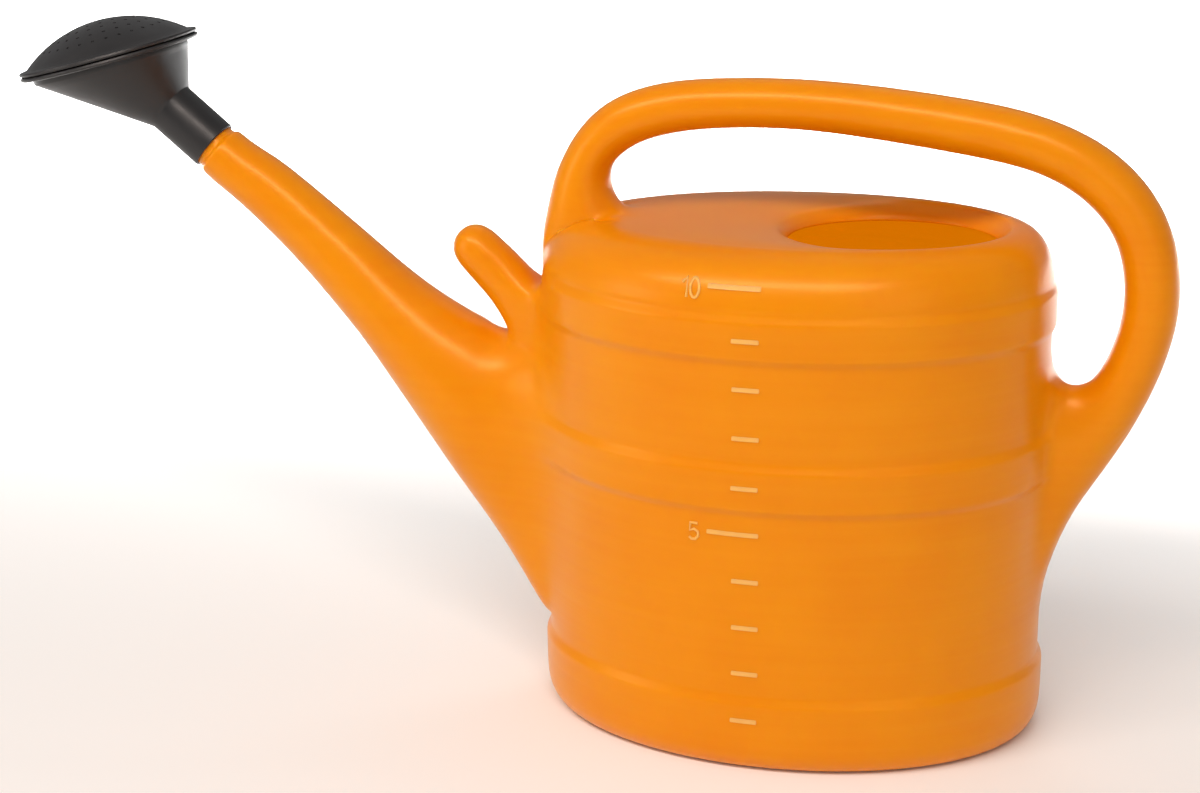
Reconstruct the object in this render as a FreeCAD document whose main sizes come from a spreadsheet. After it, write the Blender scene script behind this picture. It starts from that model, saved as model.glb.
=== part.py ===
import FreeCAD, Part
import math
import os
import Sketcher

# Ten-litre plastic watering can. The frame: X runs along the can, with the spout towards -X and
# the rear of the handle towards +X. Y runs across it and Z is up. The origin is the centre of the
# oval base, on the floor. The can is one blow-moulded shell, written here as five regions that
# meet face to face: vessel, spout, handle, rose_peg and litre_marks. The rose is a moulded funnel
# with a socket, and a domed, perforated plate that snaps into it.

doc = FreeCAD.newDocument("watering_can")
sheet = doc.addObject("Spreadsheet::Sheet", "sizes")

SIZES = [
    # Vessel: an oval shell with three raised bands
    ("wall", 2.2),
    ("body_half_length", 134.8),
    ("body_half_width", 91.8),
    ("body_end_radius", 67.0),
    ("deck_height", 275.5),
    ("shoulder_radius", 27.0),
    ("base_radius", 12.0),
    ("foot_top", 42.0),
    ("foot_step", 2.6),
    ("belly_low", 145.0),
    ("belly_high", 169.0),
    ("belly_step", 2.3),
    ("collar_low", 224.0),
    ("collar_high", 245.0),
    ("collar_step", 2.0),
    # Filling opening, with a rolled-in lip
    ("opening_x", 50.0),
    ("opening_half_length", 51.0),
    ("opening_half_width", 42.0),
    ("opening_end_radius", 34.0),
    ("lip_radius", 5.0),
    ("lip_depth", 11.0),
    # Litre scale on the -Y side
    ("mark_pitch", 25.6),
    ("mark_first", 30.7),
    ("mark_height", 2.2),
    ("mark_relief", 0.8),
    ("mark_right_end", -1.0),
    ("mark_short", 14.0),
    ("mark_long", 27.0),
    # Handle: a round tube from the deck over to the rear wall
    ("grip_radius", 14.0),
    ("grip_start_x", -112.0),
    ("grip_start_z", 262.0),
    ("grip_front_x", -112.0),
    ("grip_front_z", 338.0),
    ("grip_front_bend", 46.0),
    ("grip_crest_x", 40.0),
    ("grip_crest_z", 335.0),
    ("grip_crest_bend", 420.0),
    ("grip_rear_x", 184.5),
    ("grip_rear_z", 314.0),
    ("grip_rear_bend", 58.0),
    ("grip_heel_x", 184.5),
    ("grip_heel_z", 219.0),
    ("grip_heel_bend", 60.0),
    ("grip_end_x", 159.0),
    ("grip_end_z", 179.2),
    ("heel_root_x", 124.0),
    ("heel_root_z", 138.0),
    ("heel_root_half_length", 52.0),
    ("heel_root_half_width", 16.0),
    ("heel_root_end_radius", 14.0),
    # Spout: a tapered tube that swells into a tall gusset at the vessel
    ("spout_root_x", -122.0),
    ("spout_root_z", 138.0),
    ("spout_root_half_length", 92.0),
    ("spout_root_half_width", 31.0),
    ("spout_root_end_radius", 22.0),
    ("spout_low_x", -186.0),
    ("spout_low_z", 181.0),
    ("spout_low_radius", 33.0),
    ("spout_low_angle", 43.0),
    ("spout_mid_x", -223.0),
    ("spout_mid_z", 213.5),
    ("spout_mid_radius", 21.7),
    ("spout_mid_angle", 43.0),
    ("spout_high_x", -270.0),
    ("spout_high_z", 257.5),
    ("spout_high_radius", 16.6),
    ("spout_high_angle", 42.0),
    ("spout_tip_x", -321.8),
    ("spout_tip_z", 300.2),
    ("spout_tip_radius", 15.0),
    ("spout_angle", 40.5),
    # Neck: the spigot that the rose is pushed onto
    ("neck_radius", 12.9),
    ("neck_length", 30.0),
    # Peg: the parking place for the rose
    ("peg_x", -174.6),
    ("peg_z", 251.8),
    ("peg_angle", 45.0),
    ("peg_barrel", 14.0),
    ("peg_length", 58.0),
    ("peg_root_radius", 15.0),
    # Rose
    ("socket_gap", 3.6),
    ("socket_length", 32.0),
    ("socket_wall", 1.4),
    ("socket_clearance", 0.05),
    ("rose_wall", 1.8),
    ("rose_reach", 46.8),
    ("rose_tilt", 76.0),
    ("rose_radius", 50.0),
    ("flange_overhang", 6.5),
    ("flange_thickness", 2.4),
    ("flange_drop", 2.6),
    ("dome_margin", 3.5),
    ("dome_rise", 17.0),
    ("skirt_depth", 5.0),
    ("part_clearance", 0.3),
    ("spray_hole_radius", 0.9),
    ("spray_ring_pitch", 7.0),
]
for row, (alias, value) in enumerate(SIZES, start=1):
    sheet.set(f"A{row}", alias)
    sheet.set(f"B{row}", str(value))
    sheet.setAlias(f"B{row}", alias)

# A four-arc oval is set by its half length, half width and end radius. The distance of its end
# centres from the middle, its side radius and the drop of its side centres follow from them.
OVALS = ("body", "opening", "heel_root", "spout_root")
row = len(SIZES)
for stem in OVALS:
    length, width, end = (f"{stem}_half_length", f"{stem}_half_width", f"{stem}_end_radius")
    derived = (
        ("reach", f"={length} - {end}"),
        ("side_radius", f"=(({length} - {end})^2 + {width}^2 - {end}^2) / (2 * ({width} - {end}))"),
        ("drop", f"={stem}_side_radius - {width}"),
    )
    for word, formula in derived:
        row += 1
        sheet.set(f"A{row}", f"{stem}_{word}")
        sheet.set(f"B{row}", formula)
        sheet.setAlias(f"B{row}", f"{stem}_{word}")

# The funnel's mouth and the plate's dome both keep inside the rose's rim.
for alias, margin in (("cone_radius", "flange_overhang"), ("dome_radius", "dome_margin")):
    row += 1
    sheet.set(f"A{row}", alias)
    sheet.set(f"B{row}", f"=rose_radius - {margin}")
    sheet.setAlias(f"B{row}", alias)
doc.recompute()

LEVEL = 0.1
LITRES = 10
LONG_MARKS = (5, 10)
SPRAY_RINGS = 6
RING_HOLE_STEP = 6


def size(alias):
    """The value of a named size, in millimetres or degrees."""
    return float(sheet.get(alias))


def cell(alias):
    """The expression that reads a named size."""
    return f"<<sizes>>.{alias}"


def new_body(name):
    return doc.addObject("PartDesign::Body", name)


def new_sketch(body, name, x="0", z="0", turn="0"):
    """A sketch on the body's XY plane, moved to (x, 0, z) and turned about Y by an expression."""
    sketch = body.newObject("Sketcher::SketchObject", name)
    plane = [f for f in body.Origin.OriginFeatures if f.Role == "XY_Plane"][0]
    sketch.AttachmentSupport = [(plane, "")]
    sketch.MapMode = "FlatFace"
    sketch.AttachmentOffset = FreeCAD.Placement(
        FreeCAD.Vector(), FreeCAD.Rotation(FreeCAD.Vector(0, 1, 0), 10)
    )
    sketch.setExpression("AttachmentOffset.Base.x", x)
    sketch.setExpression("AttachmentOffset.Base.z", z)
    sketch.setExpression("AttachmentOffset.Rotation.Angle", turn)
    return sketch


def bind(sketch, kind, name, expression, *where):
    """A dimension between the given places, bound to an expression."""
    value = float(sketch.evalExpression(expression))
    index = sketch.addConstraint(Sketcher.Constraint(kind, *where, value))
    sketch.renameConstraint(index, name)
    sketch.setExpression(f"Constraints.{name}", expression)


def draw_circle(sketch, radius):
    sketch.addGeometry(Part.Circle(FreeCAD.Vector(), FreeCAD.Vector(0, 0, 1), 50), False)
    sketch.addConstraint(Sketcher.Constraint("Coincident", 0, 3, -1, 1))
    bind(sketch, "Radius", "radius", radius, 0)


def draw_oval(sketch, stem, grow="0"):
    """A four-arc oval, long along X, from the stem's named sizes, grown by an expression."""
    reach, end_radius = size(f"{stem}_reach"), size(f"{stem}_end_radius")
    side_radius, drop = size(f"{stem}_side_radius"), size(f"{stem}_drop")
    turn = math.atan2(drop, reach)
    up = FreeCAD.Vector(0, 0, 1)
    arcs = (
        (FreeCAD.Vector(reach, 0, 0), end_radius, -turn, turn),
        (FreeCAD.Vector(0, -drop, 0), side_radius, turn, math.pi - turn),
        (FreeCAD.Vector(-reach, 0, 0), end_radius, math.pi - turn, math.pi + turn),
        (FreeCAD.Vector(0, drop, 0), side_radius, math.pi + turn, 2 * math.pi - turn),
    )
    for centre, arc_radius, start, end in arcs:
        circle = Part.Circle(centre, up, arc_radius)
        sketch.addGeometry(Part.ArcOfCircle(circle, start, end), False)
    for arc in range(4):
        sketch.addConstraint(Sketcher.Constraint("Coincident", arc, 2, (arc + 1) % 4, 1))
    # the four joints mirror one another in the two axes
    sketch.addConstraint(Sketcher.Constraint("Symmetric", 0, 2, 1, 2, -2))
    sketch.addConstraint(Sketcher.Constraint("Symmetric", 1, 2, 3, 2, -1, 1))
    sketch.addConstraint(Sketcher.Constraint("Symmetric", 0, 2, 2, 2, -1, 1))
    grown = f"({cell(stem + '_end_radius')} + ({grow}))"
    span = f"({cell(stem + '_side_radius')} - {cell(stem + '_end_radius')})"
    joint_x = f"{cell(stem + '_reach')} + {grown} * {cell(stem + '_reach')} / {span}"
    joint_y = f"{grown} * {cell(stem + '_drop')} / {span}"
    bind(sketch, "DistanceX", "joint_x", joint_x, -1, 1, 0, 2)
    bind(sketch, "DistanceY", "joint_y", joint_y, -1, 1, 0, 2)
    for arc, kind in enumerate(("end", "side", "end", "side")):
        bind(sketch, "Radius", f"radius_{arc}", f"{cell(f'{stem}_{kind}_radius')} + ({grow})", arc)


def pad(body, sketch, name, length):
    feature = body.newObject("PartDesign::Pad", name)
    feature.Profile = sketch
    feature.setExpression("Length", length)
    doc.recompute()
    return feature


def round_edges(body, base, name, radius, low, high):
    """Rounds the level edges of base that lie between the heights low and high."""
    picked = []
    for i, edge in enumerate(base.Shape.Edges, start=1):
        box = edge.BoundBox
        if box.ZMin > low and box.ZMax < high and box.ZLength < LEVEL:
            picked.append(f"Edge{i}")
    feature = body.newObject("PartDesign::Fillet", name)
    feature.Base = (base, picked)
    feature.setExpression("Radius", radius)
    doc.recompute()
    return feature


def loft(body, name, sections):
    feature = body.newObject("PartDesign::AdditiveLoft", name)
    feature.Profile = sections[0]
    feature.Sections = sections[1:]
    feature.Ruled = True
    doc.recompute()
    return feature


def cut(label, base, tools):
    """The solid of base with the tools taken away one after another, as the node called label."""
    for number, tool in enumerate(tools, start=1):
        last = number == len(tools)
        feature = doc.addObject("Part::Cut", label if last else f"{label}_cut_{number}")
        feature.Base = base
        feature.Tool = tool
        doc.recompute()
        base = feature
    return base


# --- Vessel ---------------------------------------------------------------------------------------
# The same form is made three times: the outside, the cavity one wall inside it, and a skin that is
# proud of it by the height of the litre marks.


def vessel_form(name, inset):
    """The oval vessel as a solid, with every face moved inwards by the expression inset."""
    body = new_body(name)

    def oval(label, step, low, high):
        outline = new_sketch(body, f"{name}_{label}_outline", z=low)
        draw_oval(outline, "body", f"{step} - {inset}")
        return pad(body, outline, f"{name}_{label}", f"{high} - ({low})")

    wall = oval("wall", "0", inset, f"{cell('deck_height')} - {inset}")
    top = wall.Shape.BoundBox.ZMax
    round_edges(body, wall, f"{name}_shoulder", f"{cell('shoulder_radius')} - {inset}",
                top - 1, top + 1)
    foot = oval("foot", cell("foot_step"), inset, f"{cell('foot_top')} - {inset}")
    low = foot.Shape.BoundBox.ZMin
    round_edges(body, foot, f"{name}_base_edge", f"{cell('base_radius')} - {inset}",
                low - 1, low + 1)
    for band in ("belly", "collar"):
        low, high = f"{cell(band + '_low')} + {inset}", f"{cell(band + '_high')} - {inset}"
        oval(band, cell(f"{band}_step"), low, high)
    return body


vessel_outside = vessel_form("vessel_outside", "0")
mouth_outline = new_sketch(
    vessel_outside, "mouth_outline", x=cell("opening_x"), z=cell("deck_height")
)
draw_oval(mouth_outline, "opening")
mouth = vessel_outside.newObject("PartDesign::Pocket", "mouth")
mouth.Profile = mouth_outline
mouth.setExpression("Length", f"{cell('lip_depth')} + {cell('wall')}")
doc.recompute()
deck_top = size("deck_height")
round_edges(vessel_outside, mouth, "mouth_roll", cell("lip_radius"), deck_top - 0.5, deck_top + 1)

# The cavity leaves a sleeve of wall around the opening, which is the rolled-in lip.
vessel_inside = vessel_form("vessel_inside", cell("wall"))
sleeve_outline = new_sketch(
    vessel_inside, "sleeve_outline", x=cell("opening_x"), z=cell("deck_height")
)
draw_oval(sleeve_outline, "opening", cell("wall"))
sleeve = vessel_inside.newObject("PartDesign::Pocket", "sleeve")
sleeve.Profile = sleeve_outline
sleeve.setExpression("Length", cell("lip_depth"))
doc.recompute()
cavity_top = deck_top - size("wall")
round_edges(
    vessel_inside, sleeve, "sleeve_roll", f"{cell('lip_radius')} - {cell('wall')}",
    cavity_top - 0.5, cavity_top + 1,
)

# --- Spout ----------------------------------------------------------------------------------------
# A loft through tilted sections. The root section stands upright inside the vessel's wall.


def spout_form(name, inset):
    """The spout as a solid, with its radii smaller by the expression inset."""
    body = new_body(name)
    root = new_sketch(
        body, f"{name}_root", x=cell("spout_root_x"), z=cell("spout_root_z"), turn="-90"
    )
    draw_oval(root, "spout_root", f"-({inset})")
    sections = [root]
    for place in ("low", "mid", "high", "tip"):
        angle = cell("spout_angle") if place == "tip" else cell(f"spout_{place}_angle")
        ring = new_sketch(
            body, f"{name}_{place}",
            x=cell(f"spout_{place}_x"), z=cell(f"spout_{place}_z"), turn=f"{angle} - 90",
        )
        draw_circle(ring, f"{cell(f'spout_{place}_radius')} - {inset}")
        sections.append(ring)
    loft(body, f"{name}_loft", sections)
    # the neck goes on from the tip section along the same axis
    neck = new_sketch(
        body, f"{name}_neck_end", x=cell("spout_tip_x"), z=cell("spout_tip_z"),
        turn=f"{cell('spout_angle')} - 90",
    )
    draw_circle(neck, f"{cell('neck_radius')} - {inset}")
    pad(body, neck, f"{name}_neck", f"{cell('neck_length')} + {inset}")
    return body


spout_outside = spout_form("spout_outside", "0")
spout_inside = spout_form("spout_inside", cell("wall"))

# --- Handle ---------------------------------------------------------------------------------------
# A round pipe along a path of straight runs and tangent arcs, with a flared heel at the rear wall.


def handle_path(body, name):
    """The centre line, as corner points that each have a named bend radius."""
    sketch = body.newObject("Sketcher::SketchObject", name)
    plane = [f for f in body.Origin.OriginFeatures if f.Role == "XZ_Plane"][0]
    sketch.AttachmentSupport = [(plane, "")]
    sketch.MapMode = "FlatFace"
    stops = ("start", "front", "crest", "rear", "heel", "end")
    points = [FreeCAD.Vector(size(f"grip_{s}_x"), size(f"grip_{s}_z"), 0) for s in stops]
    bends = {s: size(f"grip_{s}_bend") for s in stops[1:-1]}

    # the arc at each corner touches both runs at this distance from the corner
    arcs = []
    for i, stop in enumerate(stops[1:-1], start=1):
        back = (points[i - 1] - points[i]).normalize()
        ahead = (points[i + 1] - points[i]).normalize()
        half = back.getAngle(ahead) / 2
        reach = bends[stop] / math.tan(half)
        middle = points[i] + (back + ahead).normalize() * (bends[stop] / math.sin(half) - bends[stop])
        arcs.append((points[i] + back * reach, middle, points[i] + ahead * reach))
    first = points[0]
    for entry, middle, leave in arcs:
        sketch.addGeometry(Part.LineSegment(first, entry), False)
        sketch.addGeometry(Part.Arc(entry, middle, leave), False)
        first = leave
    sketch.addGeometry(Part.LineSegment(first, points[-1]), False)
    return sketch


def handle_form(name, inset):
    """The handle as a solid, with its radii smaller by the expression inset."""
    body = new_body(name)
    path = handle_path(body, f"{name}_path")
    ring = new_sketch(body, f"{name}_ring", x=cell("grip_start_x"), z=cell("grip_start_z"))
    draw_circle(ring, f"{cell('grip_radius')} - {inset}")
    pipe = body.newObject("PartDesign::AdditivePipe", f"{name}_pipe")
    pipe.Profile = ring
    pipe.Spine = path
    doc.recompute()
    down_x = size("grip_end_x") - size("grip_heel_x")
    down_z = size("grip_end_z") - size("grip_heel_z")
    turn = math.degrees(math.atan2(down_x, down_z))
    neck = new_sketch(
        body, f"{name}_heel_top", x=cell("grip_end_x"), z=cell("grip_end_z"), turn=f"{turn}"
    )
    draw_circle(neck, f"{cell('grip_radius')} - {inset}")
    root = new_sketch(
        body, f"{name}_heel_root", x=cell("heel_root_x"), z=cell("heel_root_z"), turn="-90"
    )
    draw_oval(root, "heel_root", f"-({inset})")
    loft(body, f"{name}_heel", [neck, root])
    return body


handle_outside = handle_form("handle_outside", "0")
handle_inside = handle_form("handle_inside", cell("wall"))

# --- Rose peg -------------------------------------------------------------------------------------
# A round-ended stub between the spout and the handle, the neck's size, where the rose is parked.


def peg_form(name, inset):
    body = new_body(name)
    turn = f"{cell('peg_angle')} - 90"
    end = new_sketch(body, f"{name}_end", x=cell("peg_x"), z=cell("peg_z"), turn=turn)
    draw_circle(end, f"{cell('neck_radius')} - {inset}")
    barrel = pad(body, end, f"{name}_barrel", cell("peg_barrel"))
    barrel.Reversed = True
    doc.recompute()
    sections = []
    for label, depth, radius in (
        ("throat", "peg_barrel", "neck_radius"), ("root", "peg_length", "peg_root_radius"),
    ):
        ring = new_sketch(
            body, f"{name}_{label}",
            x=f"{cell('peg_x')} + {cell(depth)} * cos({cell('peg_angle')} * 1deg)",
            z=f"{cell('peg_z')} - {cell(depth)} * sin({cell('peg_angle')} * 1deg)",
            turn=turn,
        )
        draw_circle(ring, f"{cell(radius)} - {inset}")
        sections.append(ring)
    loft(body, f"{name}_taper", sections)
    ball = body.newObject("PartDesign::AdditiveSphere", f"{name}_ball")
    ball.setExpression("Radius", f"{cell('neck_radius')} - {inset}")
    ball.AttachmentSupport = [(body.Origin.OriginFeatures[0], "")]
    ball.MapMode = "Deactivated"
    ball.setExpression("Placement.Base.x", cell("peg_x"))
    ball.setExpression("Placement.Base.z", cell("peg_z"))
    doc.recompute()
    return body


peg_outside = peg_form("peg_outside", "0")
peg_inside = peg_form("peg_inside", cell("wall"))

# The regions of the one moulding are trimmed to each other, so that they meet face to face.
spout = cut("spout", spout_outside, [vessel_outside, spout_inside])
handle = cut("handle", handle_outside, [vessel_outside, handle_inside])
rose_peg = cut("rose_peg", peg_outside, [vessel_outside, spout_outside, peg_inside])

# --- Litre scale ----------------------------------------------------------------------------------
# One raised bar per litre, the fifth and tenth longer, standing proud of the wall.
proud_skin = vessel_form("proud_skin", f"-{cell('mark_relief')}")
bars = []
for litre in range(1, LITRES + 1):
    bar = doc.addObject("Part::Box", f"bar_{litre}")
    length = cell("mark_long") if litre in LONG_MARKS else cell("mark_short")
    bar.setExpression("Length", length)
    bar.setExpression("Width", cell("body_half_width"))
    bar.setExpression("Height", cell("mark_height"))
    bar.setExpression("Placement.Base.x", f"{cell('mark_right_end')} - {length}")
    bar.setExpression("Placement.Base.y", f"-1.2 * {cell('body_half_width')}")
    height = f"{cell('mark_first')} + {litre - 1} * {cell('mark_pitch')} - {cell('mark_height')} / 2"
    bar.setExpression("Placement.Base.z", height)
    bars.append(bar)
all_bars = doc.addObject("Part::MultiFuse", "all_bars")
all_bars.Shapes = bars
bars_in_skin = doc.addObject("Part::Common", "bars_in_skin")
bars_in_skin.Base = all_bars
bars_in_skin.Tool = proud_skin
doc.recompute()
litre_marks = cut("litre_marks", bars_in_skin, [vessel_outside])

# The vessel is hollowed last, and the spout opens into it. The handle's ends are pinched shut.
vessel = cut("vessel", vessel_outside, [vessel_inside, spout_inside])

# --- Rose -----------------------------------------------------------------------------------------
# Local frames: the socket's axis follows the spout's tip, and the plate's axis is tilted from it.
tip_angle = math.radians(size("spout_angle"))
axis = FreeCAD.Vector(-math.cos(tip_angle), 0, math.sin(tip_angle))
spout_tip = FreeCAD.Vector(size("spout_tip_x"), 0, size("spout_tip_z"))


def along(distance):
    """Expressions for the point at this distance from the spout's tip, along its axis."""
    x = f"{cell('spout_tip_x')} - ({distance}) * cos({cell('spout_angle')} * 1deg)"
    z = f"{cell('spout_tip_z')} + ({distance}) * sin({cell('spout_angle')} * 1deg)"
    return x, z


socket_bore = f"{cell('neck_radius')} + {cell('socket_clearance')}"
socket_outer = f"{socket_bore} + {cell('socket_wall')}"
socket_start = cell("socket_gap")
socket_end = f"{cell('socket_gap')} + {cell('socket_length')}"
rim_centre = along(f"{socket_end} + {cell('rose_reach')}")
axis_turn = f"{cell('spout_angle')} - 90"
rim_turn = f"{cell('rose_tilt')} - 90"

rose_socket = new_body("rose_socket")
socket_x, socket_z = along(socket_start)
ring = new_sketch(rose_socket, "socket_ring", x=socket_x, z=socket_z, turn=axis_turn)
draw_circle(ring, socket_outer)
ring.addGeometry(Part.Circle(FreeCAD.Vector(), FreeCAD.Vector(0, 0, 1), 20), False)
ring.addConstraint(Sketcher.Constraint("Coincident", 1, 3, -1, 1))
bind(ring, "Radius", "bore", socket_bore, 1)
pad(rose_socket, ring, "socket_tube", f"{cell('socket_length')} - {cell('socket_clearance')}")


def rim_point(depth):
    """Expressions for the point this far below the rim's centre, along the plate's axis."""
    x = f"{rim_centre[0]} + ({depth}) * cos({cell('rose_tilt')} * 1deg)"
    z = f"{rim_centre[1]} - ({depth}) * sin({cell('rose_tilt')} * 1deg)"
    return x, z


def funnel_form(name, inset, small_radius):
    """The funnel's cone and the short cylinder above it, as a solid."""
    body = new_body(name)
    start_x, start_z = along(socket_end)
    mouth_ring = new_sketch(body, f"{name}_throat", x=start_x, z=start_z, turn=axis_turn)
    draw_circle(mouth_ring, small_radius)
    top_depth = f"{cell('flange_drop')} + {cell('skirt_depth')}"
    top_x, top_z = rim_point(top_depth)
    top_ring = new_sketch(body, f"{name}_cone_top", x=top_x, z=top_z, turn=rim_turn)
    draw_circle(top_ring, f"{cell('cone_radius')} - {inset}")
    loft(body, f"{name}_cone", [mouth_ring, top_ring])
    band = new_sketch(body, f"{name}_band_outline", x=top_x, z=top_z, turn=rim_turn)
    draw_circle(band, f"{cell('cone_radius')} - {inset}")
    pad(body, band, f"{name}_band", cell("skirt_depth"))
    return body


funnel_outside = funnel_form("funnel_outside", "0", socket_outer)
flange_x, flange_z = rim_point(f"{cell('flange_drop')}")
flange = new_sketch(funnel_outside, "flange_outline", x=flange_x, z=flange_z, turn=rim_turn)
draw_circle(flange, cell("rose_radius"))
flange_pad = pad(funnel_outside, flange, "funnel_flange", cell("flange_thickness"))
flange_pad.Reversed = True
doc.recompute()
funnel_inside = funnel_form("funnel_inside", cell("rose_wall"), socket_bore)
rose_funnel = cut("rose_funnel", funnel_outside, [funnel_inside])

# The plate: a domed disc with a flat flange and a skirt that snaps into the funnel's band. It is
# turned about its own axis at the origin and then placed on the rim.
DOME_RADIUS = (size("dome_radius") ** 2 + size("dome_rise") ** 2) / (2 * size("dome_rise"))


def plate_solid():
    """The plate about +Z, with the funnel's flange top at -flange_drop."""
    thickness, wall = size("flange_thickness"), size("rose_wall")
    base = -size("flange_drop") + size("part_clearance")
    top = base + thickness
    centre = top + size("dome_rise") - DOME_RADIUS
    skirt_radius = size("cone_radius") - size("rose_wall") - size("part_clearance")
    flange_disc = Part.makeCylinder(size("rose_radius"), thickness, FreeCAD.Vector(0, 0, base))
    dome = Part.makeSphere(DOME_RADIUS, FreeCAD.Vector(0, 0, centre))
    above = Part.makeCylinder(size("dome_radius"), DOME_RADIUS, FreeCAD.Vector(0, 0, top))
    skirt = Part.makeCylinder(
        skirt_radius, size("skirt_depth"), FreeCAD.Vector(0, 0, base - size("skirt_depth"))
    )
    solid = flange_disc.fuse([dome.common(above), skirt])
    hollow_ball = Part.makeSphere(DOME_RADIUS - wall, FreeCAD.Vector(0, 0, centre))
    hollow_top = Part.makeCylinder(
        skirt_radius - wall, DOME_RADIUS + size("skirt_depth") + thickness,
        FreeCAD.Vector(0, 0, base - size("skirt_depth")),
    )
    floor = Part.makeCylinder(
        skirt_radius - wall, size("skirt_depth") + thickness,
        FreeCAD.Vector(0, 0, base - size("skirt_depth")),
    )
    solid = solid.cut(hollow_ball.common(hollow_top).fuse(floor))
    drills = []
    for ring_number in range(SPRAY_RINGS):
        ring_radius = ring_number * size("spray_ring_pitch")
        count = max(1, RING_HOLE_STEP * ring_number)
        for i in range(count):
            turn = 2 * math.pi * i / count
            lean = math.asin(ring_radius / DOME_RADIUS)
            out = FreeCAD.Vector(
                math.sin(lean) * math.cos(turn), math.sin(lean) * math.sin(turn), math.cos(lean)
            )
            start = FreeCAD.Vector(0, 0, centre) + out * (DOME_RADIUS - 2 * wall)
            drills.append(Part.makeCylinder(size("spray_hole_radius"), 3 * wall, start, out))
    return solid.cut(drills)


rim_distance = size("socket_gap") + size("socket_length") + size("rose_reach")
rose_plate = doc.addObject("Part::Feature", "rose_plate")
rose_plate.Shape = plate_solid()
rose_plate.Placement = FreeCAD.Placement(
    spout_tip + axis * rim_distance,
    FreeCAD.Rotation(FreeCAD.Vector(0, 1, 0), size("rose_tilt") - 90),
)
doc.recompute()

# --- Checks and files -----------------------------------------------------------------------------
nodes = [vessel, spout, handle, rose_peg, litre_marks, rose_socket, rose_funnel, rose_plate]
for thing in doc.Objects:
    if "Invalid" in thing.State or "Error" in thing.State:
        raise RuntimeError(f"{thing.Name} failed to build")
os.makedirs("parts", exist_ok=True)
for node in nodes:
    if node.Shape.isNull() or not node.Shape.isValid():
        raise RuntimeError(f"{node.Label} has no valid shape")
    box = node.Shape.BoundBox
    print(
        f"{node.Label}: {len(node.Shape.Solids)} solid(s), {node.Shape.Volume / 1000:.1f} cm3,"
        f" X {box.XMin:.1f}..{box.XMax:.1f} Y {box.YMin:.1f}..{box.YMax:.1f}"
        f" Z {box.ZMin:.1f}..{box.ZMax:.1f}"
    )
    node.Shape.exportStep(f"parts/{node.Label}.step")
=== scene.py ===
import math

import bmesh
import bpy
from mathutils import Matrix, Vector


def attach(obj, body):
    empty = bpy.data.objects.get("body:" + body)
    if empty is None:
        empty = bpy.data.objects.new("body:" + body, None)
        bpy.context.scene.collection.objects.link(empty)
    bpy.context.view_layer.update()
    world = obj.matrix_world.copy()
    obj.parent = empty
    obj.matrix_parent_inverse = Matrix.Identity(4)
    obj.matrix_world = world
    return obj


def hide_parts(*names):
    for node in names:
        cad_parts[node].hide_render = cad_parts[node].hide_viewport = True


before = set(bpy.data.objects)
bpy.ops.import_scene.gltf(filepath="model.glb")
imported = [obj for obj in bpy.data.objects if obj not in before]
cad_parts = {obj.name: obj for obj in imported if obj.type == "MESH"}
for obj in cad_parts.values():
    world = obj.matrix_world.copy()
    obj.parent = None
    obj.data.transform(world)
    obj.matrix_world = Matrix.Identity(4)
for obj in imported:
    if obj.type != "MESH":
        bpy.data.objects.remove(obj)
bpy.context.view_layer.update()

# Camera, lights and floor. A long lens looks down at the can from the front, a little to the
# right of square on, over a plain pale floor under soft light.
MM = 0.001
CAMERA_PLACE = Vector((194.7, -1134.5, 551.4)) * MM
CAMERA_LENS = 67.6
CAMERA_SENSOR = 36
CAMERA_SHIFT = (-0.0097, 0.0077)


def look_frame(azimuth, elevation, roll):
    """The camera's right, up and backward directions, from three angles in degrees."""
    turn, rise, tip = (math.radians(v) for v in (azimuth, elevation, roll))
    ahead = Vector(
        (-math.sin(turn) * math.cos(rise), math.cos(turn) * math.cos(rise), -math.sin(rise))
    )
    level = Vector((math.cos(turn), math.sin(turn), 0))
    upright = level.cross(ahead)
    right = level * math.cos(tip) + upright * math.sin(tip)
    return right, upright * math.cos(tip) - level * math.sin(tip), -ahead


right, up, back = look_frame(azimuth=14.57, elevation=18.19, roll=-0.86)
bpy.ops.object.camera_add()
camera = bpy.context.object
camera.name = "camera"
camera.matrix_world = Matrix(
    [[right[i], up[i], back[i], CAMERA_PLACE[i]] for i in range(3)] + [[0, 0, 0, 1]]
)
camera.data.lens = CAMERA_LENS
camera.data.sensor_width = CAMERA_SENSOR
camera.data.shift_x, camera.data.shift_y = CAMERA_SHIFT
camera.data.clip_end = 20
bpy.context.scene.camera = camera


def linear(hex_colour):
    """An sRGB hex colour as a linear RGBA tuple."""
    values = [int(hex_colour[i:i + 2], 16) / 255 for i in (1, 3, 5)]
    bent = [v / 12.92 if v <= 0.04045 else ((v + 0.055) / 1.055) ** 2.4 for v in values]
    return (*bent, 1.0)


def add_light(name, place, aim, sides, power, colour, spread=180):
    """A rectangular soft light, aimed at a point. Its first side is level."""
    bpy.ops.object.light_add(type="AREA", location=place)
    light = bpy.context.object
    light.name = name
    light.data.shape = "RECTANGLE"
    light.data.size, light.data.size_y = sides
    light.data.energy = power
    light.data.spread = math.radians(spread)
    light.data.color = linear(colour)[:3]
    light.rotation_euler = (Vector(aim) - Vector(place)).to_track_quat("-Z", "Y").to_euler()


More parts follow.
